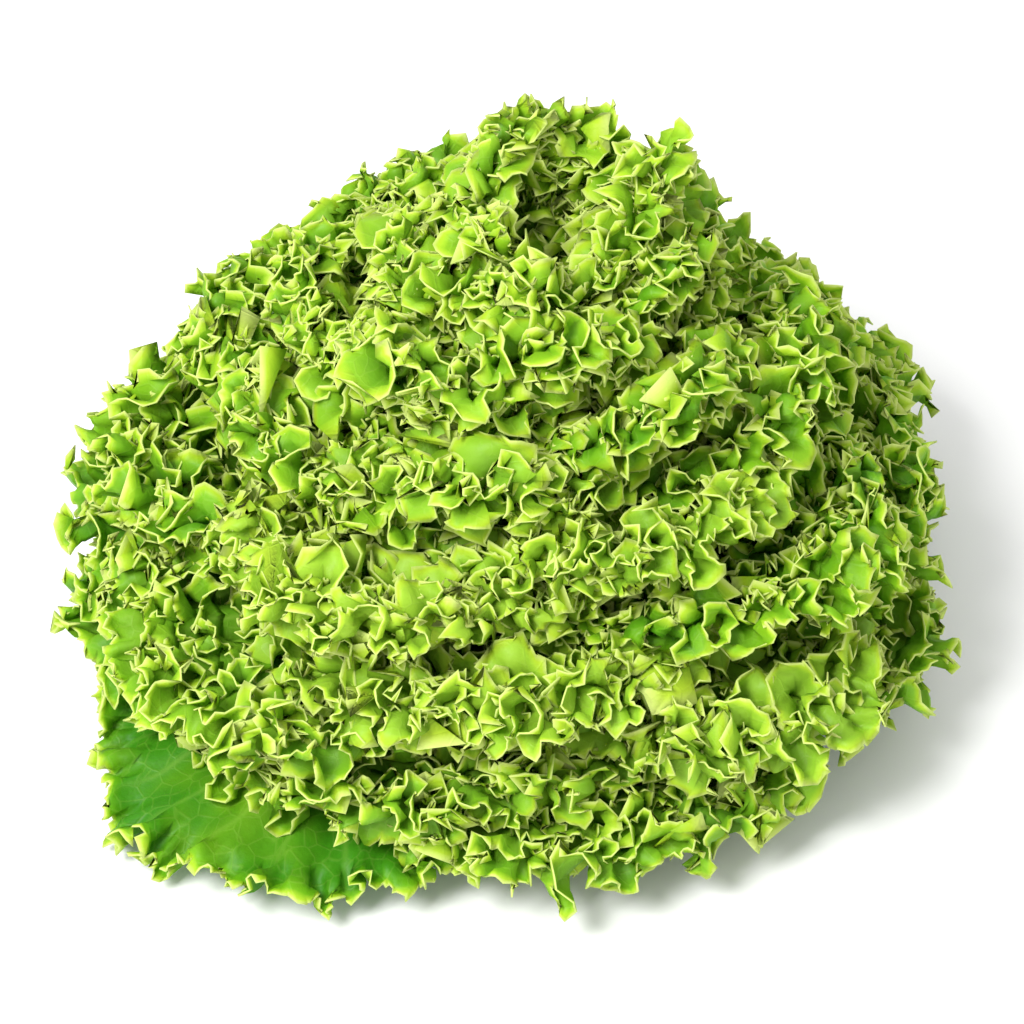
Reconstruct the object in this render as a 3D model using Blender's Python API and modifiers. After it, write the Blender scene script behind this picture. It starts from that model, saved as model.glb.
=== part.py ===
"""A head of frilly loose-leaf lettuce, as cut and trimmed, standing on its butt.

Every leaf is its own solid: a fan that narrows to the place where it clasps the stem, and
whose margin is longer than the blade behind it, so that it stands in folds.

The leaves lie on a family of arcs that never cross. An arc is known by its layer, from 0 for
the lowest leaf to 1 for the middle of the heart, and by how far along the leaf a point is.
The folds of a margin are steps towards the next layers that stop short of halfway, so that
no two leaves meet, however deep the folds are.

Metres, +Z up, origin at the centre of the cut face of the stem.
"""

import math
import random

import bmesh
import bpy

# The head. CROWDING above 0 sets the leaves closer together towards the heart.
LEAVES = 50
CROWDING = 0.15
HEAD_HEIGHT = 0.190
FIRST_STEP = 1.5
GOLDEN_ANGLE = math.radians(137.508)
FIRST_LEAF_AZIMUTH = math.radians(233)
AZIMUTH_VARIES = math.radians(7)
LENGTH_VARIES = 0.07

# How far the leaves reach beside a round head, at twelve azimuths from +X towards +Y
REACH = [0.92, 1.00, 0.92, 0.95, 0.84, 0.89, 0.95, 0.99, 1.05, 0.96, 0.99, 1.03]
REACH_STARTS = 0.035
REACH_IS_WHOLE = 0.125

# How far the top of the head leans over, towards +X
LEAN = 0.022
LEAN_POWER = 2.0

# The stem, which is cut level below the lowest leaf
STEM_RADIUS = 0.0172
STEM_TOP_RADIUS = 0.0042
STEM_HEIGHT = 0.060
STEM_CHAMFER = 0.0012
STEM_SIDES = 32
LOWEST_LEAF_HEIGHT = 0.0075
STEM_GAP = 0.0004

# The arcs, by layer at even steps from the lowest leaf to the heart: how steeply a leaf leaves
# the stem, how steeply its tip points, up or down, and how long it is
RISE_DEG = [18, 24, 33, 52, 74, 80]
DROOP_DEG = [-20, -8, 15, 42, 67, 84]
LENGTH = [0.134, 0.134, 0.128, 0.117, 0.115, 0.126]

# The fan of a leaf: half its width as seen from the axis, by layer at even steps, and the shape
# of its outline
HALF_SPREAD_DEG = [50, 52, 54, 58, 64, 72]
FOOT_SPREAD_DEG = [36, 24]
FAN_TURN = math.radians(104)
FAN_CENTRE = 0.60
FAN_CORNER_LIFT = 0.12
RAY_BEND = 1.7
TOOTH_DEPTH = 0.035
LOBES = 7
LOBE_DEPTH = 0.05

# The folds of the margin. A fold looks past up to MOST_STEPS leaves for the next one that covers
# its azimuth, and stops FOLD_CLEARANCE short of halfway to it.
COLUMNS = 24
COLUMNS_TO_ONE = 4
ROWS = [0.0, 0.30, 0.62, 0.84, 1.0]
NARROW_ROWS = 2
MOST_STEPS = 4
FOLD_CLEARANCE = 0.0010
FOLD_POWER = 2.2
LEAST_FOLD = 0.6
NEIGHBOUR_MARGIN = math.radians(13)

# Thickness of the blade, and of the midrib at its foot, from the lowest leaf to the heart
BLADE_THICKNESS = 0.0010
RIB_THICKNESS = [0.0022, 0.0012]
RIB_FADES_AT = 0.6
RIB_WIDTH = 0.55

SEED = 47

# Colours, from the lowest leaf to the heart, and of the stem
OUTER_GREEN = (0.20, 0.42, 0.035)
HEART_GREEN = (0.50, 0.66, 0.13)
STEM_CREAM = (0.80, 0.82, 0.58)
BLADE_ROUGHNESS = 0.45
STEM_ROUGHNESS = 0.55


def clear_scene():
    for obj in list(bpy.data.objects):
        bpy.data.objects.remove(obj)


def material(name, colour, roughness):
    made = bpy.data.materials.new(name)
    made.use_nodes = True
    shader = made.node_tree.nodes["Principled BSDF"]
    shader.inputs["Base Color"].default_value = (*colour, 1.0)
    shader.inputs["Roughness"].default_value = roughness
    shader.inputs["Metallic"].default_value = 0.0
    return made


def through(values, share):
    """A smooth curve through evenly spaced values, at a share of the way from first to last."""
    last = len(values) - 1
    place = share * last
    step = min(max(math.floor(place), 0), last - 1)
    rest = place - step
    b, c = values[step], values[step + 1]
    a = values[step - 1] if step else 2 * b - c
    d = values[step + 2] if step + 2 <= last else 2 * c - b
    square, cube = rest * rest, rest**3
    return 0.5 * (
        2 * b + (c - a) * rest + (2 * a - 5 * b + 4 * c - d) * square + (3 * b - a - 3 * c + d) * cube
    )


def around(values, azimuth):
    """A smooth closed curve through values that stand at even steps of azimuth."""
    place = azimuth / math.tau % 1.0 * len(values)
    step = int(place)
    four = [values[(step + k) % len(values)] for k in (-1, 0, 1, 2)]
    return through(four, (1 + place - step) / 3)


def ease(low, high, value):
    share = min(max((value - low) / (high - low), 0.0), 1.0)
    return share * share * (3 - 2 * share)


def stem_radius_at(height):
    share = (height - LOWEST_LEAF_HEIGHT) / (STEM_HEIGHT - LOWEST_LEAF_HEIGHT)
    return STEM_RADIUS + (STEM_TOP_RADIUS - STEM_RADIUS) * max(share, 0.0)


def leaf_arc(along, layer):
    """Distance from the axis and height, at a share of the leaf's length, on the arc of a layer."""
    rise = math.radians(through(RISE_DEG, layer))
    turn = math.radians(through(DROOP_DEG, layer)) - rise
    length = through(LENGTH, layer)
    heading = rise + turn * along
    foot = LOWEST_LEAF_HEIGHT + (STEM_HEIGHT - LOWEST_LEAF_HEIGHT) * layer
    start = stem_radius_at(foot) + STEM_GAP + 0.5 * rib_thickness(layer)
    return (
        start + length * (math.sin(heading) - math.sin(rise)) / turn,
        foot - length * (math.cos(heading) - math.cos(rise)) / turn,
    )


def rib_thickness(layer):
    return RIB_THICKNESS[0] + (RIB_THICKNESS[1] - RIB_THICKNESS[0]) * layer


def settled(radius, azimuth, height):
    """A point of the head, with its uneven reach and the lean of its top."""
    swell = (around(REACH, azimuth) - 1) * ease(REACH_STARTS, REACH_IS_WHOLE, radius)
    radius *= 1 + swell
    above = max(height - STEM_HEIGHT, 0.0) / (HEAD_HEIGHT - STEM_HEIGHT)
    lean = LEAN * above**LEAN_POWER
    return (
        radius * math.cos(azimuth) + lean,
        radius * math.sin(azimuth),
        height,
    )


def azimuth_of(leaf_number):
    """Leaves follow the golden angle round the stem, each a little off its place."""
    sway = random.Random(SEED * 1000 + leaf_number).uniform(-1, 1)
    return FIRST_LEAF_AZIMUTH + leaf_number * GOLDEN_ANGLE + sway * AZIMUTH_VARIES


def waved(values, share):
    """A rounded wave through evenly spaced values, at a share of the way from first to last."""
    place = share * (len(values) - 1)
    step = min(int(place), len(values) - 2)
    return values[step] + (values[step + 1] - values[step]) * (1 - math.cos(math.pi * (place - step))) / 2


def fan(across, out, tooth):
    """A point of the flat leaf: sideways from -1 to 1, and along from 0 at the stem to 1.

    across runs along the margin from one lower corner to the other, and out runs up the veins,
    which leave the stem side by side and bend apart.
    """
    turn = across * FAN_TURN
    corner = FAN_CORNER_LIFT * abs(across) ** 3
    length = 1 - TOOTH_DEPTH * tooth
    edge_side = math.sin(turn) * length
    edge_along = FAN_CENTRE + (1 - FAN_CENTRE) * math.cos(turn) * length + corner
    return edge_side * out**RAY_BEND, edge_along * out


def fold_sizes(draw):
    """How far each column of the margin stands out of the leaf, in turn to one side and the other."""
    return [
        (1 if column % 2 else -1) * draw.uniform(LEAST_FOLD, 1.0)
        for column in range(COLUMNS + 1)
    ]


def layer_of(leaf_number):
    """The layer of a leaf. Leaves stand closer towards the heart."""
    share = (leaf_number + FIRST_STEP) / (LEAVES - 1 + 2 * FIRST_STEP)
    return share * (1 + CROWDING) - CROWDING * share * share


def room_for_fold(index, along, angle, side):
    """The layer that a fold may reach, side leaves up or down, at an angle from its leaf's middle.

    It stops FOLD_CLEARANCE short of halfway to the next leaf that covers the same azimuth.
    """
    for step in range(1, MOST_STEPS + 1):
        other = index + side * step
        spread = math.radians(through(HALF_SPREAD_DEG, layer_of(other)))
        away = abs((azimuth_of(other) - azimuth_of(index) - angle + math.pi) % math.tau - math.pi)
        if away < spread + NEIGHBOUR_MARGIN:
            break
    here = leaf_arc(along, layer_of(index))
    spacing = math.dist(here, leaf_arc(along, layer_of(index + side * step))) / step
    return layer_of(index + side * max(step / 2 - FOLD_CLEARANCE / spacing, 0.0))


def leaf_mesh(index):
    """An open sheet in the shape of leaf number index, split into triangles."""
    draw = random.Random(SEED * 2000 + index)
    size = 1 + draw.uniform(-1, 1) * LENGTH_VARIES
    lobes = [draw.uniform(-1, 1) * LOBE_DEPTH for _ in range(LOBES + 1)]
    folds = fold_sizes(draw)
    layer = layer_of(index)
    azimuth = azimuth_of(index)
    spread = math.radians(through(HALF_SPREAD_DEG, layer))
    foot_spread = math.radians(through(FOOT_SPREAD_DEG, layer))

    sheet = bmesh.new()
    bmesh.ops.create_grid(sheet, x_segments=COLUMNS, y_segments=len(ROWS) - 1, size=1)
    places = {}
    for vert in sheet.verts:
        column = round((vert.co.x + 1) / 2 * COLUMNS)
        row = round((vert.co.y + 1) / 2 * (len(ROWS) - 1))
        places[column, row] = vert
    # The narrow foot of the leaf has one column where the margin has several.
    merged = {}
    for (column, row), vert in places.items():
        kept = round(column / COLUMNS_TO_ONE) * COLUMNS_TO_ONE
        if row < NARROW_ROWS and kept != column:
            merged[vert] = places[kept, row]
    kept_places = {place: vert for place, vert in places.items() if vert not in merged}

    for (column, row), vert in kept_places.items():
        across, out = 2 * column / COLUMNS - 1, ROWS[row]
        last_row = row == len(ROWS) - 1
        reach = size + waved(lobes, (across + 1) / 2) * out**3
        side, along = (reach * x for x in fan(across, out, tooth=(column % 2) * last_row))
        flat_radius = leaf_arc(along, layer)[0]
        foot_side = across * foot_spread * leaf_arc(0, layer)[0] * (1 - out) ** 2
        tip_side = side * spread * leaf_arc(FAN_CENTRE, layer)[0]
        angle = (foot_side + tip_side) / flat_radius
        step = folds[column]
        reached = room_for_fold(index, along, angle, side=1 if step > 0 else -1) - layer
        fold = abs(step) * out**FOLD_POWER * reached
        radius, height = leaf_arc(along, layer + fold)
        vert.co = settled(radius, azimuth + angle, height)

    bmesh.ops.weld_verts(sheet, targetmap=merged)
    bmesh.ops.triangulate(sheet, faces=sheet.faces, quad_method="ALTERNATE")
    bmesh.ops.recalc_face_normals(sheet, faces=sheet.faces)
    mesh = bpy.data.meshes.new(f"leaf_{index + 1:02d}")
    rib = []
    sheet.verts.index_update()
    for (column, row), vert in kept_places.items():
        across, out = 2 * column / COLUMNS - 1, ROWS[row]
        thick = (1 - ease(0, RIB_FADES_AT, out)) * (1 - ease(0, RIB_WIDTH, abs(across)))
        rib.append((vert.index, thick))
    sheet.to_mesh(mesh)
    sheet.free()
    return mesh, rib, layer


def leaf(index, collection):
    """A leaf as a solid: thickest at the foot of its midrib, and a thin blade everywhere else."""
    mesh, rib, layer = leaf_mesh(index)
    mesh.shade_smooth()
    obj = bpy.data.objects.new(mesh.name, mesh)
    collection.objects.link(obj)
    colour = [a + (b - a) * layer for a, b in zip(OUTER_GREEN, HEART_GREEN)]
    mesh.materials.append(material(f"{mesh.name}_blade", colour, BLADE_ROUGHNESS))
    rib_group = obj.vertex_groups.new(name="rib")
    for vertex, thick in rib:
        rib_group.add([vertex], thick, "REPLACE")
    solidify = obj.modifiers.new("Leaf thickness", "SOLIDIFY")
    solidify.thickness = max(rib_thickness(layer), BLADE_THICKNESS)
    solidify.offset = 0
    solidify.vertex_group = rib_group.name
    solidify.thickness_vertex_group = BLADE_THICKNESS / solidify.thickness
    solidify.use_even_offset = False
    return obj


def stem(collection):
    """The stem is turned: a cone that the leaves clasp, cut level and a little rounded at the cut."""
    profile = [
        (STEM_TOP_RADIUS * 0.5, STEM_HEIGHT + STEM_TOP_RADIUS),
        (STEM_TOP_RADIUS, STEM_HEIGHT),
        (STEM_RADIUS, LOWEST_LEAF_HEIGHT),
        (STEM_RADIUS, STEM_CHAMFER),
        (STEM_RADIUS - STEM_CHAMFER, 0.0),
    ]
    shape = bmesh.new()
    rings = [shape.verts.new((0, 0, profile[0][1]))]
    rings += [shape.verts.new((radius, 0, height)) for radius, height in profile]
    rings.append(shape.verts.new((0, 0, 0)))
    for above, below in zip(rings, rings[1:]):
        shape.edges.new((above, below))
    mesh = bpy.data.meshes.new("stem")
    shape.to_mesh(mesh)
    shape.free()
    obj = bpy.data.objects.new("stem", mesh)
    collection.objects.link(obj)
    mesh.materials.append(material("cut_stem", STEM_CREAM, STEM_ROUGHNESS))
    screw = obj.modifiers.new("Turn", "SCREW")
    screw.axis = "Z"
    screw.steps = screw.render_steps = STEM_SIDES
    screw.use_merge_vertices = True
    screw.merge_threshold = 0.00005
    screw.use_smooth_shade = True
    return obj


def main():
    clear_scene()
    head = bpy.data.collections.new("lettuce_head")
    bpy.context.scene.collection.children.link(head)
    stem(head)
    for index in range(LEAVES):
        leaf(index, head)


main()
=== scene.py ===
"""Looks of the lettuce head: curled and toothed leaves, the cut stem, studio and camera.

Every leaf is made again, finely, on the arcs that its solid lies on, with the same folds. Its
margin is then cut into lobes and teeth, and Geometry Nodes curl the lobes and ruffle their edges.

Metres, +Z up, origin at the centre of the cut face of the stem.
"""

import math
import random

import bpy
import numpy as np
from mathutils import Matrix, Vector
from mathutils.bvhtree import BVHTree


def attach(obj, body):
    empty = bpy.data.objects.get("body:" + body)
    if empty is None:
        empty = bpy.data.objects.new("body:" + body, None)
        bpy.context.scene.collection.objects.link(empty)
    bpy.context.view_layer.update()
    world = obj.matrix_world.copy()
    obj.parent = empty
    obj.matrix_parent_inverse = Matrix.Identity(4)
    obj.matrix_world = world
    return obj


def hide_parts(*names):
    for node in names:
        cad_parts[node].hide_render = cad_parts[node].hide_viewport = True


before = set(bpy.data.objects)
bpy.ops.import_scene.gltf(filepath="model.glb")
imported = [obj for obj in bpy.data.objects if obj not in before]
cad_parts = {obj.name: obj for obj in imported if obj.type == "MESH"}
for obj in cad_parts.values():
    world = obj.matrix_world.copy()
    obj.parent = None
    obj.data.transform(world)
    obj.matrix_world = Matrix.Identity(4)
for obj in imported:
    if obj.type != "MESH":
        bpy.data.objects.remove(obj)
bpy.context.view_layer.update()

# The head and its arcs, as in the part's source
LEAVES = 50
CROWDING = 0.15
HEAD_HEIGHT = 0.190
FIRST_STEP = 1.5
GOLDEN_ANGLE = math.radians(137.508)
FIRST_LEAF_AZIMUTH = math.radians(233)
AZIMUTH_VARIES = math.radians(7)
LENGTH_VARIES = 0.07
REACH = [0.92, 1.00, 0.92, 0.95, 0.84, 0.89, 0.95, 0.99, 1.05, 0.96, 0.99, 1.03]
REACH_STARTS = 0.035
REACH_IS_WHOLE = 0.125
LEAN = 0.022
LEAN_POWER = 2.0
STEM_RADIUS = 0.0172
STEM_TOP_RADIUS = 0.0042
STEM_HEIGHT = 0.060
LOWEST_LEAF_HEIGHT = 0.0075
STEM_GAP = 0.0004
RISE_DEG = [18, 24, 33, 52, 74, 80]
DROOP_DEG = [-20, -8, 15, 42, 67, 84]
LENGTH = [0.134, 0.134, 0.128, 0.117, 0.115, 0.126]
HALF_SPREAD_DEG = [50, 52, 54, 58, 64, 72]
FOOT_SPREAD_DEG = [36, 24]
FAN_TURN = math.radians(104)
FAN_CENTRE = 0.60
FAN_CORNER_LIFT = 0.12
RAY_BEND = 1.7
TOOTH_DEPTH = 0.035
LOBES = 7
LOBE_DEPTH = 0.05
COLUMNS = 24
MOST_STEPS = 4
FOLD_CLEARANCE = 0.0010
FOLD_POWER = 2.2
LEAST_FOLD = 0.6
NEIGHBOUR_MARGIN = math.radians(13)
RIB_THICKNESS = [0.0022, 0.0012]
SEED = 47

# The fine sheet of a leaf. Its rows stand at these distances from the margin, in mm on a ray of
# RAY_LENGTH, and every group of rows has half as many columns as the group before it. Columns
# of the margin and of the ranks of frill have their own widths.
COLUMN_WIDTH = [0.00109, 0.00129]
RAY_LENGTH = 0.130
LEAF_ROWS = [
    [0.0],
    [1.5, 3.8, 6.4, 9.4],
    [13.0, 18.0, 26.0],
    [36.0, 50.0],
    [72.0],
    [100.0, 130.0],
]

# The frill of a leaf stands in ranks on its blade, one behind the other. A rank is a narrow strip
# that starts this far in, in mm, on one face of the blade, 1 for the upper one. It stands off
# the blade by RANK_STANDS, and its curl takes its rim to about RIM_STANDS. It curls by the first
# RANK_CURL and by its lobes times the second. Its ruffles fade RANK_FADE times as fast.
RANKS = [(6, 1), (12, 1), (18.5, 1), (26, 1), (35, 1), (46, 1), (9, -1), (18, -1), (28, -1)]
RANK_ROWS = [[0.0], [1.5, 3.8, 6.4], [9.0]]
RANK_STANDS = 0.0020
RIM_STANDS = 0.0045
RANK_CURL = [0.75, 0.6]
RANK_FADE = 1.8

# The lowest leaves are plainer: their margin is flatter, and they bear only the last ranks of
# their upper face, which start at least PLAIN_FOR in, in mm.
PLAIN_LEAVES = 3
PLAIN_FOR = 26
PLAIN_CURL = 0.4

# Frill is made only where the head lets it be seen. A place is open if enough of the rays from
# just off the blade, or just beyond the margin, get away from the head at these angles. Hidden
# margin has wider columns.
OPEN_ELEVATIONS = [0, 20, 40, 60, 80]
OPEN_AZIMUTHS = [-40, 0, 40]
OPEN_SHARE = 0.31
OPEN_SPOTS = 60
PROBES = 50
OFF_BLADE = {0: 0.006, 1: 0.005, -1: 0.005}
HIDDEN_COLUMNS = 0.4
COARSE_ACROSS = 48
COARSE_OUT = 12

# Thickness of a blade, how far it stays off the floor, and a small step over the leaf, as a
# share of it, that tells which way it runs
BLADE = 0.0005
FLOOR_GAP = 0.0004
NEAR = 0.004

# Lobes of the margin: how wide, how deep the cuts between them, and how far each one curls. A few
# lobes are nearly flat. The margin also wanders in and out, on the leaf and on the ranks. The
# lowest leaf turns its whole margin up by MARGIN_TURNS, and the heart turns it out.
LOBE_WIDTH = [0.0070, 0.0135]
CUT_DEPTH = [0.0010, 0.0060]
CUT_WIDTH = 0.0020
CUT_FADES = 8
WANDER_STEP = [0.010, 0.024]
WANDER = [0.0040, 0.0065]
LOBE_CURL = [0.45, 1.25]
FLAT_LOBES = 0.12
FLAT_CURL = 0.15
MARGIN_TURNS = 0.35

# Teeth of the margin, sharp, with hollow sides, each bent up or down
TOOTH_SPACING = [0.0032, 0.0066]
TOOTH_LENGTH = [0.0010, 0.0034]
TOOTH_HALF_WIDTH = 0.0023
TOOTH_HOLLOW = 1.8
TOOTH_CURL = 0.3

# Inputs of the frill tree, in metres and radians
FRILL = {
    "Curl Depth": 0.0110,
    "Curl Turn": 1.35,
    "Ruffle Width": 0.0130,
    "Ruffle Height": 0.0029,
    "Ruffle Depth": 0.0160,
    "Ruffle Loop": 0.45,
    "Frill Width": 0.0064,
    "Frill Height": 0.0008,
    "Frill Depth": 0.0070,
    "Frill Loop": 0.3,
    "Blister Height": 0.0048,
}

# Each size of wave starts its own noise from the leaf's seed, and has bends this many to a metre.
# Along the margin its phase sways and its height swells, from wave to wave.
WAVES = {"Ruffle": (13.7, 70.0), "Frill": (18.7, 140.0)}
SWAY_SCALE = 0.37
SWELL_SCALE = 0.6
PHASE_TURNS = 9.0
SWELL = [0.35, 1.3]
WHOLE_WITHIN = 0.25
BLISTER_SCALE = 110.0
NO_CURL = 0.0001

# What each point of a sheet knows
POINT_VALUES = {
    "margin": "FLOAT",
    "fade": "FLOAT",
    "behind": "FLOAT",
    "curl": "FLOAT",
    "stand": "FLOAT",
    "ray": "FLOAT_VECTOR",
    "beside": "FLOAT_VECTOR",
}

# How pale a leaf is, from 0 to 1, and the leaves that stand out as paler or greener, by number
PALENESS = [0.0, 0.15]
PALE_LEAVES = {1: 0.0, 9: 0.15, 12: 0.35, 15: 0.0, 17: 0.4, 20: 0.0, 22: 0.45, 25: 0.3, 30: 0.2}

# Greens of the lowest leaf and of the heart, near the margin and further in, and the distances
# from the margin between which one turns into the other. The deeper green further in is partly
# the blade's own and partly painted shade, for the shade that falls where the leaves overlap.
LIGHT_GREEN = ["64AA12", "8AC01E"]
DEEP_AND_SHADED_GREEN = ["3F8A14", "60A014"]
DEEPENS_AND_SHADES = [0.0010, 0.0065]

# Patches about 30 mm wide, and how much of their tint they take
MOTTLE_SCALE = 30.0
MOTTLE_RANGE = [0.42, 0.68]
PATCH = "B4DC2A"
PATCH_SHARE = 0.3
PALE = "CDEB4E"

# The margin's tint and the painted highlight on its very edge: how strong, and how wide in metres.
# The margin's yellow is partly its own paler colour and partly painted light on the lit rims.
MARGIN_YELLOW_AND_LIGHT = "C6E034"
MARGIN_SHARE = 0.9
MARGIN_WIDTH = 0.0019
EDGE_HIGHLIGHT = "E8F29A"
EDGE_HIGHLIGHT_SHARE = 0.7
EDGE_HIGHLIGHT_WIDTH = 0.0006

# Veins: ribs across half a leaf, which bend every 40 mm and fade towards the margin, a net of
# cells of 6 mm between them, and the width of both as shares of their spacing
VEINS = 7.0
VEIN_BENDS = 25.0
RIB_WIDTH = 0.09
RIB_FADES = [0.4, 0.97]
RIB_LEFT = 0.1
NET_SCALE = 170.0
NET_WIDTH = 0.07
NET_SHARE = 0.25
VEIN = "B9DC62"
VEIN_SHARE = 0.45

# Wax of the blade, its grain of 1.4 mm, its relief, and the light that comes through it
WAX_ROUGHNESS = [0.36, 0.60]
GRAIN_SCALE = 700.0
RELIEF = 0.0005
RELIEF_STRENGTH = 0.5
GLOW = "A8E000"
GLOW_SHARE = 0.6
LIGHT_THROUGH = 0.28

# The cut stem: pith and rind with the radii between which they meet, the ring of bundles, 2 mm
# apart, and an unevenness of 11 mm
PITH, RIND, BUNDLES = "E9ECCB", "BFD38A", "A9B878"
RIND_STARTS = [0.0150, 0.0178]
STEM_RING = 0.0135
RING_WIDTH = 0.0014
RING_SHARE = 0.5
BUNDLE_SCALE = 520.0
BUNDLE_RANGE = [0.2, 0.6]
UNEVEN_SCALE = 90.0
UNEVEN_DEPTH = 0.003

# Studio: half the floor's side, its colour, and the light
FLOOR_REACH = 4.0
FLOOR = "F4F4F4"
SKY_STRENGTH = 0.92
KEY_PLACE = (-0.7, -0.8, 1.3)
KEY_AIM = (0.0, 0.0, 0.07)
KEY_SIZE = 0.6
KEY_POWER = 30.5

# The camera, which looks along +Y and down
CAMERA_ELEVATION = math.radians(42)
CAMERA_DISTANCE = 1.30
CAMERA_LENS = 148.5
CAMERA_AIM = (0.0009, -0.0132, 0.0553)

# Kinds of nodes that are used often
MATH, VECTOR_MATH = "ShaderNodeMath", "ShaderNodeVectorMath"
NOISE, MIX, RANGE = "ShaderNodeTexNoise", "ShaderNodeMix", "ShaderNodeMapRange"


def linear(code):
    """An sRGB hex colour as linear red, green, blue and an alpha of 1."""
    parts = [int(code[k : k + 2], 16) / 255 for k in (0, 2, 4)]
    return (*(p / 12.92 if p <= 0.04045 else ((p + 0.055) / 1.055) ** 2.4 for p in parts), 1.0)


def add(tree, kind, inputs=None, out=0, **settings):
    """Adds a node with its settings, values and links, and gives one of its outputs."""
    node = tree.nodes.new(kind)
    for name, value in settings.items():
        setattr(node, name, value)
    for key, value in (inputs or {}).items():
        if isinstance(value, bpy.types.NodeSocket):
            tree.links.new(value, node.inputs[key])
        else:
            node.inputs[key].default_value = value
    return node.outputs[out]


# Arcs of the head


def through(values, share):
    """A smooth curve through evenly spaced values, at a share of the way from first to last."""
    values = np.asarray(values, float)
    last = len(values) - 1
    place = np.asarray(share, float) * last
    step = np.clip(np.floor(place), 0, last - 1).astype(int)
    rest = place - step
    longer = np.concatenate([[2 * values[0] - values[1]], values, [2 * values[-1] - values[-2]]])
    a, b, c, d = (longer[step + k] for k in range(4))
    bend = (2 * a - 5 * b + 4 * c - d) * rest**2 + (3 * b - a - 3 * c + d) * rest**3
    return 0.5 * (2 * b + (c - a) * rest + bend)


def around(values, azimuth):
    """A smooth closed curve through values that stand at even steps of azimuth."""
    place = azimuth / math.tau % 1.0 * len(values)
    closed = [*values[-2:], *values, *values[:3]]
    return through(closed, (place + 2) / (len(closed) - 1))


def ease(low, high, value):
    share = np.clip((value - low) / (high - low), 0.0, 1.0)
    return share * share * (3 - 2 * share)


def waved(values, share):
    """A rounded wave through evenly spaced values, at a share of the way from first to last."""
    values = np.asarray(values, float)
    place = share * (len(values) - 1)
    step = np.clip(np.floor(place), 0, len(values) - 2).astype(int)
    rise = values[step + 1] - values[step]
    return values[step] + rise * (1 - np.cos(np.pi * (place - step))) / 2


def leaf_arc(along, layer):
    """Distance from the axis and height, at a share of the leaf's length, on the arc of a layer."""
    rise = np.radians(through(RISE_DEG, layer))
    turn = np.radians(through(DROOP_DEG, layer)) - rise
    length = through(LENGTH, layer)
    heading = rise + turn * along
    foot = LOWEST_LEAF_HEIGHT + (STEM_HEIGHT - LOWEST_LEAF_HEIGHT) * layer
    stem_radius = STEM_RADIUS + (STEM_TOP_RADIUS - STEM_RADIUS) * np.maximum(layer, 0.0)
    rib = RIB_THICKNESS[0] + (RIB_THICKNESS[1] - RIB_THICKNESS[0]) * layer
    start = stem_radius + STEM_GAP + 0.5 * rib
    return (
        start + length * (np.sin(heading) - np.sin(rise)) / turn,
        foot - length * (np.cos(heading) - np.cos(rise)) / turn,
    )


def settled(radius, azimuth, height):
    """Points of the head, with its uneven reach and the lean of its top."""
    swell = (around(REACH, azimuth) - 1) * ease(REACH_STARTS, REACH_IS_WHOLE, radius)
    radius = radius * (1 + swell)
    above = np.maximum(height - STEM_HEIGHT, 0.0) / (HEAD_HEIGHT - STEM_HEIGHT)
    lean = LEAN * above**LEAN_POWER
    return np.stack([radius * np.cos(azimuth) + lean, radius * np.sin(azimuth), height], -1)


def azimuth_of(leaf_number):
    """Leaves follow the golden angle round the stem, each a little off its place."""
    sway = random.Random(SEED * 1000 + leaf_number).uniform(-1, 1)
    return FIRST_LEAF_AZIMUTH + leaf_number * GOLDEN_ANGLE + sway * AZIMUTH_VARIES


def layer_of(leaf_number):
    """The layer of a leaf. Leaves stand closer towards the heart."""
    share = (leaf_number + FIRST_STEP) / (LEAVES - 1 + 2 * FIRST_STEP)
    return share * (1 + CROWDING) - CROWDING * share * share


def fan(across, out, tooth):
    """Points of the flat leaf: sideways from -1 to 1, and along from 0 at the stem to 1."""
    turn = across * FAN_TURN
    corner = FAN_CORNER_LIFT * np.abs(across) ** 3
    length = 1 - TOOTH_DEPTH * tooth
    edge_side = np.sin(turn) * length
    edge_along = FAN_CENTRE + (1 - FAN_CENTRE) * np.cos(turn) * length + corner
    return edge_side * out**RAY_BEND, edge_along * out


def room_for_fold(index, along, angle, side):
    """The layer that a fold may reach, side leaves up or down, at angles from its leaf's middle."""
    nearest = np.full(angle.shape, MOST_STEPS)
    for step in range(MOST_STEPS, 0, -1):
        other = index + side * step
        spread = np.radians(through(HALF_SPREAD_DEG, layer_of(other)))
        turned = azimuth_of(other) - azimuth_of(index) - angle
        away = np.abs((turned + np.pi) % math.tau - np.pi)
        nearest = np.where(away < spread + NEIGHBOUR_MARGIN, step, nearest)
    here = leaf_arc(along, layer_of(index))
    there = leaf_arc(along, layer_of(index + side * nearest))
    spacing = np.hypot(here[0] - there[0], here[1] - there[1]) / nearest
    return layer_of(index + side * np.maximum(nearest / 2 - FOLD_CLEARANCE / spacing, 0.0))


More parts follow.
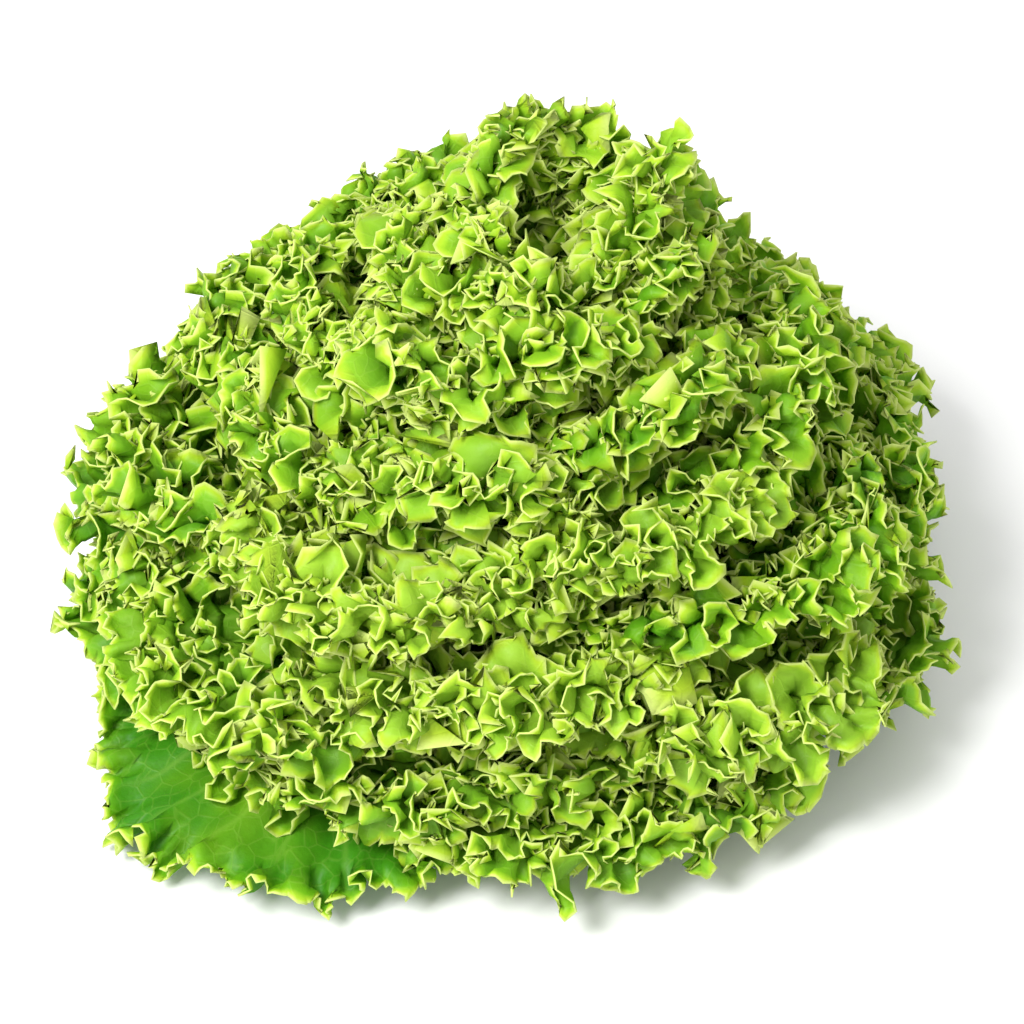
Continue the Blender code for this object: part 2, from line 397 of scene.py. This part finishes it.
def leaf_points(index, across, out, longer=0.0):
    """Points of leaf number index. longer stretches the rays at the margin, as a share."""
    draw = random.Random(SEED * 2000 + index)
    size = 1 + draw.uniform(-1, 1) * LENGTH_VARIES
    lobes = [draw.uniform(-1, 1) * LOBE_DEPTH for _ in range(LOBES + 1)]
    folds = np.array([draw.uniform(LEAST_FOLD, 1.0) for _ in range(COLUMNS + 1)])
    layer = layer_of(index)
    spread = np.radians(through(HALF_SPREAD_DEG, layer))
    foot_spread = np.radians(through(FOOT_SPREAD_DEG, layer))

    share = (across + 1) / 2
    tooth = waved(np.arange(COLUMNS + 1) % 2, share) * out**6
    reach = size + waved(lobes, share) * out**3 + longer * out**CUT_FADES
    side, along = (reach * x for x in fan(across, out, tooth))
    foot_side = across * foot_spread * leaf_arc(0, layer)[0] * (1 - out) ** 2
    tip_side = side * spread * leaf_arc(FAN_CENTRE, layer)[0]
    angle = (foot_side + tip_side) / leaf_arc(along, layer)[0]
    up = room_for_fold(index, along, angle, side=1) - layer
    down = room_for_fold(index, along, angle, side=-1) - layer
    rising = np.arange(COLUMNS + 1) % 2
    fold = waved(folds * rising, share) * up + waved(folds * (1 - rising), share) * down
    radius, height = leaf_arc(along, layer + fold * out**FOLD_POWER)
    return settled(radius, azimuth_of(index) + angle, height)


# The fine sheet of a leaf


def running_length(points):
    steps = np.linalg.norm(np.diff(points, axis=0), axis=1)
    return np.concatenate([[0.0], np.cumsum(steps)])


def rounded(spots, values, places):
    """A rounded wave through values at uneven spots."""
    spots, values = np.array(spots), np.array(values)
    step = np.clip(np.searchsorted(spots, places) - 1, 0, len(spots) - 2)
    share = (places - spots[step]) / (spots[step + 1] - spots[step])
    return values[step] + (values[step + 1] - values[step]) * (1 - np.cos(np.pi * share)) / 2


def margin_lobes(seed, places, sways):
    """The curl of the lobes, up or down, and how far the margin draws back, at places along it."""
    draw = random.Random(seed)
    centres, curls, drawn = [-LOBE_WIDTH[1]], [0.0], np.zeros(len(places))
    way = draw.choice((-1, 1))
    while centres[-1] < places[-1] + LOBE_WIDTH[1]:
        width = draw.uniform(*LOBE_WIDTH)
        cut = (places - centres[-1] - width / 2) / CUT_WIDTH
        drawn += draw.uniform(*CUT_DEPTH) * np.exp(-cut * cut)
        centres.append(centres[-1] + width)
        flat = FLAT_CURL if draw.random() < FLAT_LOBES else 1.0
        curls.append(way * draw.uniform(*LOBE_CURL) * flat)
        way = -way
    spots, wander = [-WANDER_STEP[1]], [0.0]
    while spots[-1] < places[-1] + WANDER_STEP[1]:
        spots.append(spots[-1] + draw.uniform(*WANDER_STEP))
        wander.append(draw.uniform(-1, 1) * sways)
    return rounded(centres, curls, places), drawn + rounded(spots, wander, places)


def margin_teeth(seed, places):
    """How far each column of the margin reaches past the blade as a tooth, and how it curls."""
    draw = random.Random(seed)
    reach, curl = np.zeros(len(places)), np.zeros(len(places))
    at = draw.uniform(*TOOTH_SPACING)
    while at < places[-1]:
        away = np.abs(places - places[np.argmin(np.abs(places - at))])
        tooth = np.clip(1 - away / TOOTH_HALF_WIDTH, 0, 1) ** TOOTH_HOLLOW
        reach = np.maximum(reach, tooth * draw.uniform(*TOOTH_LENGTH))
        curl += tooth * draw.uniform(-1, 1) * TOOTH_CURL
        at += draw.uniform(*TOOTH_SPACING)
    return reach, curl


def plain_head():
    """All the leaves without their frill, coarse, to tell which places are open to view."""
    points, faces = [], []
    row = COARSE_ACROSS + 1
    across, out = np.meshgrid(np.linspace(-1, 1, row), np.linspace(0, 1, COARSE_OUT + 1))
    across, out = across.ravel(), out.ravel()
    for index in range(LEAVES):
        start = len(points)
        points += leaf_points(index, across, out).tolist()
        for a in range(COARSE_OUT):
            for b in range(COARSE_ACROSS):
                corner = start + a * row + b
                faces.append((corner, corner + 1, corner + row + 1, corner + row))
    return BVHTree.FromPolygons(points, faces)


def beyond(index, across, out, face, distance, longer=0.0):
    """Points off the upper or lower face of a leaf, 1 or -1, or further out along its rays, 0."""
    here = leaf_points(index, across, out, longer)
    way = here - leaf_points(index, across, out - NEAR, longer)
    if face:
        beside = leaf_points(index, across + NEAR, out, longer) - here
        way = face * np.cross(way, beside)
    return here + way * (distance / np.linalg.norm(way, axis=1)[:, None])


def open_to_view(head, index, across, share, face):
    """Which places of a leaf, at a share of the way out, can be seen from outside the head.

    face is 1 or -1 for the upper or lower face of the blade, and 0 for its margin.
    """
    seen = []
    for place in beyond(index, across, np.full_like(across, share), face, OFF_BLADE[face]):
        azimuth = math.atan2(place[1], place[0])
        turns = [azimuth + math.radians(a) for a in OPEN_AZIMUTHS]
        ways = [
            Vector((math.cos(e) * math.cos(a), math.cos(e) * math.sin(a), math.sin(e)))
            for e in map(math.radians, OPEN_ELEVATIONS)
            for a in turns
        ]
        away = sum(head.ray_cast(Vector(place), way)[0] is None for way in ways)
        seen.append(away >= OPEN_SHARE * len(ways))
    return np.array(seen)


def stretch_for(share):
    """What longer has to be divided by, in leaf_points, to be metres at a share of the way out."""
    return RAY_LENGTH * share**CUT_FADES


def strip_columns(head, index, rank, seed, most):
    """Columns of a strip, most times a whole number of them and even where the margin is open.

    Gives, for each: across, the length of the plain margin up to it and of the cut one, and
    whether frill can be seen there. The margin of a rank is measured where its curl takes it,
    off the blade, because it fans out on the crest of a fold.
    """
    inset, face = RANKS[rank - 1] if rank else (0.0, 1)
    share = 1 - inset / 1000 / RAY_LENGTH
    probe = np.linspace(-1, 1, PROBES * OPEN_SPOTS + 1)
    edge = np.full_like(probe, share)
    stands = RIM_STANDS if rank else 0.0
    plain = running_length(beyond(index, probe, edge, face, stands))
    drawn = margin_lobes(seed, plain, WANDER[rank > 0])[1]
    cut = running_length(beyond(index, probe, edge, face, stands, -drawn / stretch_for(share)))
    spots = probe[::PROBES]
    seen = open_to_view(head, index, spots, share, face if rank else 0)
    seen = seen | np.roll(seen, 1) | np.roll(seen, -1)
    weight = np.where(np.interp(probe, spots, seen) > 0.5, 1.0, HIDDEN_COLUMNS)[1:]
    weighed = np.concatenate([[0.0], np.cumsum(np.diff(cut) * weight)])
    columns = most * max(round(weighed[-1] / COLUMN_WIDTH[rank > 0] / most), 4)
    even = np.linspace(0, weighed[-1], columns + 1)
    across = np.interp(even, weighed, probe)
    open_at = np.interp(across, spots, seen) > 0.5
    return across, np.interp(even, weighed, plain), np.interp(even, weighed, cut), open_at


def strip_faces(grid, skips, most, kept):
    """Faces of a strip, whose rows have every skip-th column, where it is kept."""
    faces = []
    for row, (fine, coarse) in enumerate(zip(skips, skips[1:])):
        for column in range(0, grid.shape[1] - 1, coarse):
            whole = column // most * most
            if not kept[whole] or not kept[whole + most]:
                continue
            ends = [grid[row + 1, column], grid[row + 1, column + coarse]]
            if fine == coarse:
                faces.append([grid[row, column], grid[row, column + coarse], ends[1], ends[0]])
                continue
            left, middle, right = (grid[row, column + k * fine] for k in range(3))
            faces += [[left, middle, ends[0]], [middle, ends[1], ends[0]], [middle, right, ends[1]]]
    return faces


def frill_strip(head, index, rank):
    """The points, faces and point values of the whole open leaf, rank 0, or of a rank on it."""
    groups = RANK_ROWS if rank else LEAF_ROWS
    inset, face = RANKS[rank - 1] if rank else (0.0, 1)
    most = 2 ** (len(groups) - 1)
    seed = SEED * 3000 + index * 10 + rank
    across_at, plain_at, cut_at, open_at = strip_columns(head, index, rank, seed, most)
    curl_at, drawn_at = margin_lobes(seed, plain_at, WANDER[rank > 0])
    tooth_at, bent_at = margin_teeth(seed, cut_at)
    if rank:
        curl_at = face * (RANK_CURL[0] + RANK_CURL[1] * curl_at)
    else:
        curl_at = curl_at + MARGIN_TURNS * (1 - 2 * layer_of(index))
    if index < PLAIN_LEAVES and not rank:
        curl_at = curl_at * PLAIN_CURL

    rows = [(mm, 2**group) for group, row in enumerate(groups) for mm in row]
    grid = np.full((len(rows), len(across_at)), -1)
    column_of, row_of = [], []
    for row, (_, skip) in enumerate(rows):
        kept = np.arange(0, len(across_at), skip)
        grid[row, kept] = len(column_of) + np.arange(len(kept))
        column_of += kept.tolist()
        row_of += [row] * len(kept)
    column_of, row_of = np.array(column_of), np.array(row_of)
    faces = strip_faces(grid, [skip for _, skip in rows], most, open_at | (rank == 0))

    inward = np.array([mm for mm, _ in rows])[row_of] / 1000
    across = across_at[column_of]
    share = 1 - inset / 1000 / RAY_LENGTH
    out = np.maximum(share - inward / RAY_LENGTH, 0.0)
    top = row_of == 0
    longer = np.where(top, tooth_at[column_of], 0.0) - drawn_at[column_of]
    behind = inward - longer * (out / share) ** CUT_FADES
    longer /= stretch_for(share)
    points = leaf_points(index, across, out, longer)
    ray = leaf_points(index, across, out + NEAR, longer) - points
    beside = leaf_points(index, across + NEAR, out, longer) - points
    values = {
        "margin": plain_at[column_of] + rank,
        "inward": inward,
        "behind": behind,
        "fade": inward * (RANK_FADE if rank else 1.0),
        "curl": curl_at[column_of] + np.where(top, bent_at[column_of], 0.0),
        "stand": face * RANK_STANDS * (1 - inward / inward.max()) * (rank > 0),
        "across": across,
        "out": out,
    }
    for name, way in (("ray", ray), ("beside", beside)):
        values[name] = way / np.linalg.norm(way, axis=1)[:, None]
    used = np.unique([corner for corners in faces for corner in corners]).astype(int)
    renumber = np.zeros(len(points), int)
    renumber[used] = np.arange(len(used))
    faces = [[int(renumber[corner]) for corner in corners] for corners in faces]
    return points[used], faces, {name: value[used] for name, value in values.items()}


def leaf_sheet(head, index):
    """The open sheet of a leaf and the ranks of frill on it, whose points know where they are."""
    ranks = [
        rank
        for rank, (inset, face) in enumerate(RANKS, 1)
        if index >= PLAIN_LEAVES or (inset >= PLAIN_FOR and face == 1)
    ]
    strips = [frill_strip(head, index, rank) for rank in (0, *ranks)]
    faces, start = [], 0
    for points, corners, _ in strips:
        faces += [[start + corner for corner in face] for face in corners]
        start += len(points)
    mesh = bpy.data.meshes.new(f"leaf_{index + 1:02d}_sheet")
    mesh.from_pydata(np.concatenate([strip[0] for strip in strips]), [], faces)
    for name in strips[0][2]:
        values = np.concatenate([strip[2][name] for strip in strips]).astype(np.float32)
        if values.ndim == 1:
            mesh.attributes.new(name, "FLOAT", "POINT").data.foreach_set("value", values)
        else:
            given = mesh.attributes.new(name, "FLOAT_VECTOR", "POINT")
            given.data.foreach_set("vector", values.ravel())
    return mesh


# Curls and ruffles


def curl(tree, given, point, normal):
    """Bends a lobe as an arc of a circle, so that it grows no longer: how far its points move."""
    depth = given["Curl Depth"]
    reach = add(tree, MATH, {0: depth, 1: point["behind"]}, operation="SUBTRACT")
    reach = add(tree, MATH, {0: reach, 1: 0.0}, operation="MAXIMUM")
    turn = add(tree, MATH, {0: point["curl"], 1: given["Curl Turn"]}, operation="MULTIPLY")
    turn = add(tree, MATH, {0: turn, 1: reach}, operation="MULTIPLY")
    turn = add(tree, MATH, {0: turn, 1: depth}, operation="DIVIDE")
    turn = add(tree, MATH, {0: turn, 1: NO_CURL}, operation="ADD")
    level = add(tree, MATH, {0: turn}, operation="COSINE")
    lift = add(tree, MATH, {0: 1.0, 1: level}, operation="SUBTRACT")
    lift = add(tree, MATH, {0: lift, 1: turn}, operation="DIVIDE")
    lift = add(tree, MATH, {0: lift, 1: reach, 2: point["stand"]}, operation="MULTIPLY_ADD")
    back = add(tree, MATH, {0: turn}, operation="SINE")
    back = add(tree, MATH, {0: back, 1: turn}, operation="DIVIDE")
    back = add(tree, MATH, {0: back, 1: 1.0}, operation="SUBTRACT")
    back = add(tree, MATH, {0: back, 1: reach}, operation="MULTIPLY")
    lifted = add(tree, VECTOR_MATH, {0: normal, "Scale": lift}, operation="SCALE")
    return add(tree, VECTOR_MATH, {0: point["ray"], 1: back, 2: lifted}, operation="MULTIPLY_ADD")


def wave(tree, given, point, normal, where, name):
    """Waves the margin up and down, and sideways at twice the pace, so that its crests overhang."""
    start, bends = WAVES[name]
    place = add(tree, MATH, {0: point["margin"], 1: given[f"{name} Width"]}, operation="DIVIDE")
    along = add(tree, MATH, {0: given["Seed"], 1: start, 2: place}, operation="MULTIPLY_ADD")
    sway, swell = (
        add(tree, NOISE, {"W": along, "Scale": scale, "Detail": 1.0}, noise_dimensions="1D")
        for scale in (SWAY_SCALE, SWELL_SCALE)
    )
    bend = add(tree, NOISE, {"Vector": where, "Scale": bends, "Detail": 1.0})
    phase = add(tree, MATH, {0: place, 1: math.tau}, operation="MULTIPLY")
    phase = add(tree, MATH, {0: sway, 1: PHASE_TURNS, 2: phase}, operation="MULTIPLY_ADD")
    phase = add(tree, MATH, {0: bend, 1: PHASE_TURNS, 2: phase}, operation="MULTIPLY_ADD")
    strength = add(tree, MATH, {0: swell, 1: SWELL[1], 2: SWELL[0]}, operation="MULTIPLY_ADD")
    depth = given[f"{name} Depth"]
    whole_to = add(tree, MATH, {0: depth, 1: WHOLE_WITHIN}, operation="MULTIPLY")
    fades = {"Value": point["fade"], "From Min": whole_to, "From Max": depth}
    fades |= {"To Min": given[f"{name} Height"], "To Max": 0.0}
    height = add(tree, RANGE, fades, interpolation_type="SMOOTHSTEP")
    height = add(tree, MATH, {0: strength, 1: height}, operation="MULTIPLY")
    rise = add(tree, MATH, {0: phase}, operation="SINE")
    rise = add(tree, MATH, {0: rise, 1: height}, operation="MULTIPLY")
    loop = add(tree, MATH, {0: phase, 1: 2.0}, operation="MULTIPLY")
    loop = add(tree, MATH, {0: loop}, operation="SINE")
    loop = add(tree, MATH, {0: loop, 1: height}, operation="MULTIPLY")
    loop = add(tree, MATH, {0: loop, 1: given[f"{name} Loop"]}, operation="MULTIPLY")
    sideways = add(tree, VECTOR_MATH, {0: point["beside"], "Scale": loop}, operation="SCALE")
    upright = add(tree, VECTOR_MATH, {0: normal, "Scale": rise}, operation="SCALE")
    return add(tree, VECTOR_MATH, {0: upright, 1: sideways}, operation="SUBTRACT")


def blister(tree, given, normal, where):
    """Puffs the blade up and down in soft blisters."""
    puff = add(tree, NOISE, {"Vector": where, "Scale": BLISTER_SCALE, "Detail": 1.0})
    puff = add(tree, MATH, {0: puff, 1: 0.5}, operation="SUBTRACT")
    puff = add(tree, MATH, {0: puff, 1: given["Blister Height"]}, operation="MULTIPLY")
    return add(tree, VECTOR_MATH, {0: normal, "Scale": puff}, operation="SCALE")


def frill_tree():
    """Curls the lobes of a leaf sheet, ruffles its margin at two sizes and blisters its blade."""
    tree = bpy.data.node_groups.new("Leaf frill", "GeometryNodeTree")
    face = tree.interface
    face.new_socket("Sheet", in_out="INPUT", socket_type="NodeSocketGeometry")
    for name in (*FRILL, "Seed"):
        face.new_socket(name, in_out="INPUT", socket_type="NodeSocketFloat")
    face.new_socket("Material", in_out="INPUT", socket_type="NodeSocketMaterial")
    face.new_socket("Leaf", in_out="OUTPUT", socket_type="NodeSocketGeometry")
    given = tree.nodes.new("NodeGroupInput").outputs
    point = {
        name: add(tree, "GeometryNodeInputNamedAttribute", {"Name": name}, data_type=kind)
        for name, kind in POINT_VALUES.items()
    }
    normal = add(tree, "GeometryNodeInputNormal")
    where = add(tree, "GeometryNodeInputPosition")
    offsets = [
        curl(tree, given, point, normal),
        *(wave(tree, given, point, normal, where, name) for name in WAVES),
        blister(tree, given, normal, where),
    ]
    leaf = given["Sheet"]
    for offset in offsets:
        leaf = add(tree, "GeometryNodeSetPosition", {"Geometry": leaf, "Offset": offset})

    # Nothing sinks into the surface that the head stands on.
    place = add(tree, "ShaderNodeSeparateXYZ", {0: where}).node.outputs
    raised = add(tree, MATH, {0: place["Z"], 1: BLADE / 2 + FLOOR_GAP}, operation="MAXIMUM")
    place = add(tree, "ShaderNodeCombineXYZ", {"X": place["X"], "Y": place["Y"], "Z": raised})
    leaf = add(tree, "GeometryNodeSetPosition", {"Geometry": leaf, "Position": place})
    leaf = add(tree, "GeometryNodeSetShadeSmooth", {0: leaf})
    leaf = add(tree, "GeometryNodeRealizeInstances", {0: leaf})
    leaf = add(tree, "GeometryNodeSetMaterial", {"Geometry": leaf, "Material": given["Material"]})
    tree.links.new(leaf, tree.nodes.new("NodeGroupOutput").inputs["Leaf"])
    return tree


def fine_leaf(head, index, tree, finish):
    """The finished leaf, in place of its solid."""
    name = f"leaf_{index + 1:02d}"
    leaf = bpy.data.objects.new(f"{name}_frilled", leaf_sheet(head, index))
    bpy.context.scene.collection.objects.link(leaf)
    frill = leaf.modifiers.new("Frill", "NODES")
    frill.node_group = tree
    given = {**FRILL, "Seed": float(index), "Material": finish}
    for socket in tree.interface.items_tree:
        if socket.name in given:
            frill[socket.identifier] = given[socket.name]
    wall = leaf.modifiers.new("Blade", "SOLIDIFY")
    wall.thickness = BLADE
    wall.offset = 0
    wall.use_even_offset = False
    bpy.context.view_layer.update()
    evaluated = leaf.evaluated_get(bpy.context.evaluated_depsgraph_get())
    mesh = bpy.data.meshes.new_from_object(evaluated)
    leaf.modifiers.clear()
    leaf.data = mesh
    paleness = random.Random(SEED * 4000 + index).uniform(*PALENESS)
    paleness = PALE_LEAVES.get(index + 1, paleness)
    for value_name, value in (("youth", layer_of(index)), ("paleness", paleness)):
        given = mesh.attributes.new(value_name, "FLOAT", "POINT")
        given.data.foreach_set("value", np.full(len(mesh.vertices), value, np.float32))
    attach(leaf, "root")
    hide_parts(name)
    return leaf


# Finishes


def leaf_veins(tree, where):
    """How strongly a place is on a vein: ribs fan out from the foot, with a fine net between them."""
    across = add(tree, "ShaderNodeAttribute", out="Fac", attribute_name="across")
    out = add(tree, "ShaderNodeAttribute", out="Fac", attribute_name="out")
    bend = add(tree, NOISE, {"Vector": where, "Scale": VEIN_BENDS, "Detail": 1.0})
    line = add(tree, MATH, {0: across, 1: VEINS, 2: bend}, operation="MULTIPLY_ADD")
    line = add(tree, MATH, {0: line, 1: 0.5}, operation="PINGPONG")
    width = {"Value": line, "From Min": 0.0, "From Max": RIB_WIDTH, "To Min": 1.0, "To Max": 0.0}
    rib = add(tree, RANGE, width, interpolation_type="SMOOTHSTEP")
    fade = {"Value": out, "From Min": RIB_FADES[0], "From Max": RIB_FADES[1]}
    fade = add(tree, RANGE, {**fade, "To Min": 1.0, "To Max": RIB_LEFT})
    rib = add(tree, MATH, {0: rib, 1: fade}, operation="MULTIPLY")
    cells = {"Vector": where, "Scale": NET_SCALE, "Randomness": 1.0}
    net = add(tree, "ShaderNodeTexVoronoi", cells, feature="DISTANCE_TO_EDGE")
    width = {"Value": net, "From Min": 0.0, "From Max": NET_WIDTH}
    net = add(tree, RANGE, {**width, "To Min": NET_SHARE, "To Max": 0.0})
    return add(tree, MATH, {0: rib, 1: net}, operation="MAXIMUM")


def leaf_colour(tree, mottle, veins):
    """Green in soft patches with paler veins, deeper inward partly as painted shade, and a yellow
    margin that is partly painted light, with a painted highlight along its very edge.
    """
    inward, youth, paleness = (
        add(tree, "ShaderNodeAttribute", out="Fac", attribute_name=name)
        for name in ("inward", "youth", "paleness")
    )
    # Partly painted shade: the green deepens further in from the margin, for the blade's own deeper
    # green and for the shade where the leaves overlap.
    deepening_and_shade = {"Value": inward, "From Min": DEEPENS_AND_SHADES[0], "From Max": DEEPENS_AND_SHADES[1]}
    deepening_and_shade = add(tree, RANGE, deepening_and_shade, interpolation_type="SMOOTHSTEP")
    light, deep = (
        add(tree, MIX, {"Factor": youth, 6: linear(low), 7: linear(heart)}, out=2, data_type="RGBA")
        for low, heart in (LIGHT_GREEN, DEEP_AND_SHADED_GREEN)
    )
    colour = add(tree, MIX, {"Factor": deepening_and_shade, 6: light, 7: deep}, out=2, data_type="RGBA")

    patch = {"Value": mottle, "From Min": MOTTLE_RANGE[0], "From Max": MOTTLE_RANGE[1]}
    patch = add(tree, RANGE, {**patch, "To Max": PATCH_SHARE})
    on_vein = add(tree, MATH, {0: veins, 1: VEIN_SHARE}, operation="MULTIPLY")
    # Partly painted light: the margin turns yellow, for its own paler colour and for the light on the
    # lit rims.
    margin = {"Value": inward, "From Min": 0.0, "From Max": MARGIN_WIDTH}
    margin |= {"To Min": MARGIN_SHARE, "To Max": 0.0}
    margin = add(tree, RANGE, margin, interpolation_type="SMOOTHSTEP")
    # Painted highlight: a near-white line along the very edge of the blade.
    edge = {"Value": inward, "From Max": EDGE_HIGHLIGHT_WIDTH, "To Min": EDGE_HIGHLIGHT_SHARE, "To Max": 0.0}
    edge = add(tree, RANGE, edge)
    tints = ((patch, PATCH), (paleness, PALE), (on_vein, VEIN), (margin, MARGIN_YELLOW_AND_LIGHT), (edge, EDGE_HIGHLIGHT))
    for share, tint in tints:
        mixed = {"Factor": share, 6: colour, 7: linear(tint)}
        colour = add(tree, MIX, mixed, out=2, data_type="RGBA")
    return colour


def lettuce_leaf():
    """Lettuce blade, a thin waxy leaf: it glows where light comes through, and is palest at its
    margin, partly with painted light.
    """
    made = bpy.data.materials.new("lettuce_leaf")
    made.use_nodes = True
    tree = made.node_tree
    shader = tree.nodes["Principled BSDF"]
    shader.inputs["IOR"].default_value = 1.42
    shader.inputs["Specular IOR Level"].default_value = 0.3
    where = add(tree, "ShaderNodeTexCoord", out="Object")
    mottle = add(tree, NOISE, {"Vector": where, "Scale": MOTTLE_SCALE, "Detail": 3.0})
    veins = leaf_veins(tree, where)
    colour = leaf_colour(tree, mottle, veins)
    tree.links.new(colour, shader.inputs["Base Color"])

    # Wax lies unevenly, and the blade is puffed between its veins.
    wax = {"Value": mottle, "To Min": WAX_ROUGHNESS[0], "To Max": WAX_ROUGHNESS[1]}
    tree.links.new(add(tree, RANGE, wax), shader.inputs["Roughness"])
    grain = add(tree, NOISE, {"Vector": where, "Scale": GRAIN_SCALE, "Detail": 2.0})
    relief = add(tree, MATH, {0: grain, 1: 0.5, 2: veins}, operation="MULTIPLY_ADD")
    relief = {"Height": relief, "Strength": RELIEF_STRENGTH, "Distance": RELIEF}
    bump = add(tree, "ShaderNodeBump", relief)
    tree.links.new(bump, shader.inputs["Normal"])

    # Light through the blade comes out a stronger yellow-green.
    glow = {"Factor": GLOW_SHARE, 6: colour, 7: linear(GLOW)}
    glow = add(tree, MIX, glow, out=2, data_type="RGBA")
    lit = add(tree, "ShaderNodeBsdfTranslucent", {"Color": glow, "Normal": bump})
    both = add(tree, "ShaderNodeMixShader", {0: LIGHT_THROUGH, 1: shader.outputs[0], 2: lit})
    tree.links.new(both, tree.nodes["Material Output"].inputs["Surface"])
    return made


def cut_stem():
    """Cut lettuce stem, crisp and moist: greenish rind, a ring of milky bundles, pale pith."""
    made = bpy.data.materials.new("cut_lettuce_stem")
    made.use_nodes = True
    tree = made.node_tree
    shader = tree.nodes["Principled BSDF"]
    shader.inputs["Roughness"].default_value = 0.38
    shader.inputs["Subsurface Weight"].default_value = 0.15
    shader.inputs["Subsurface Scale"].default_value = 0.003
    where = add(tree, "ShaderNodeTexCoord", out="Object")
    flat = add(tree, VECTOR_MATH, {0: where, 1: (1.0, 1.0, 0.0)}, operation="MULTIPLY")
    radius = add(tree, VECTOR_MATH, {0: flat}, out="Value", operation="LENGTH")
    uneven = add(tree, NOISE, {"Vector": where, "Scale": UNEVEN_SCALE, "Detail": 3.0})
    radius = add(tree, MATH, {0: uneven, 1: UNEVEN_DEPTH, 2: radius}, operation="MULTIPLY_ADD")
    rind = {"Value": radius, "From Min": RIND_STARTS[0], "From Max": RIND_STARTS[1]}
    rind = {"Factor": add(tree, RANGE, rind), 6: linear(PITH), 7: linear(RIND)}
    colour = add(tree, MIX, rind, out=2, data_type="RGBA")
    ring = add(tree, MATH, {0: radius, 1: STEM_RING}, operation="SUBTRACT")
    ring = add(tree, MATH, {0: ring}, operation="ABSOLUTE")
    ring = {"Value": ring, "From Max": RING_WIDTH, "To Min": RING_SHARE, "To Max": 0.0}
    ring = add(tree, RANGE, ring)
    bundle = add(tree, "ShaderNodeTexVoronoi", {"Vector": where, "Scale": BUNDLE_SCALE})
    bundle = {"Value": bundle, "From Min": BUNDLE_RANGE[0], "From Max": BUNDLE_RANGE[1]}
    bundle = add(tree, RANGE, {**bundle, "To Min": 1.0, "To Max": 0.2})
    ring = add(tree, MATH, {0: ring, 1: bundle}, operation="MULTIPLY")
    bundles = {"Factor": ring, 6: colour, 7: linear(BUNDLES)}
    colour = add(tree, MIX, bundles, out=2, data_type="RGBA")
    tree.links.new(colour, shader.inputs["Base Color"])
    bump = add(tree, "ShaderNodeBump", {"Height": uneven, "Strength": 0.4, "Distance": 0.0006})
    tree.links.new(bump, shader.inputs["Normal"])
    return made


def plain_finish(name, code, roughness):
    made = bpy.data.materials.new(name)
    made.use_nodes = True
    shader = made.node_tree.nodes["Principled BSDF"]
    shader.inputs["Base Color"].default_value = linear(code)
    shader.inputs["Roughness"].default_value = roughness
    return made


# Studio


def studio():
    """A white paper floor, soft light from all round and one lamp to the left."""
    side = FLOOR_REACH
    corners = [(-side, -side, 0), (side, -side, 0), (side, side, 0), (-side, side, 0)]
    floor_mesh = bpy.data.meshes.new("studio_floor")
    floor_mesh.from_pydata(corners, [], [(0, 1, 2, 3)])
    floor = bpy.data.objects.new("studio_floor", floor_mesh)
    bpy.context.scene.collection.objects.link(floor)
    floor_mesh.materials.append(plain_finish("white_paper", FLOOR, 0.8))

    world = bpy.data.worlds.new("studio")
    bpy.context.scene.world = world
    world.use_nodes = True
    sky = world.node_tree.nodes["Background"]
    sky.inputs["Color"].default_value = (1.0, 1.0, 1.0, 1.0)
    sky.inputs["Strength"].default_value = SKY_STRENGTH
    lamp = bpy.data.lights.new("key", "AREA")
    lamp.energy, lamp.size = KEY_POWER, KEY_SIZE
    key = bpy.data.objects.new("key", lamp)
    bpy.context.scene.collection.objects.link(key)
    key.location = KEY_PLACE
    key.rotation_euler = (Vector(KEY_AIM) - Vector(KEY_PLACE)).to_track_quat("-Z", "Y").to_euler()
    bpy.context.scene.view_settings.view_transform = "Standard"


def camera():
    lens = bpy.data.cameras.new("camera")
    lens.lens = CAMERA_LENS
    holder = bpy.data.objects.new("camera", lens)
    bpy.context.scene.collection.objects.link(holder)
    view = Vector((0.0, math.cos(CAMERA_ELEVATION), -math.sin(CAMERA_ELEVATION)))
    holder.location = Vector(CAMERA_AIM) - view * CAMERA_DISTANCE
    holder.rotation_euler = view.to_track_quat("-Z", "Y").to_euler()
    bpy.context.scene.camera = holder


def main():
    camera()
    studio()
    finish = lettuce_leaf()
    tree = frill_tree()
    head = plain_head()
    for index in range(LEAVES):
        fine_leaf(head, index, tree, finish)
    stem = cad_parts["stem"]
    stem.data.materials.clear()
    stem.data.materials.append(cut_stem())


main()
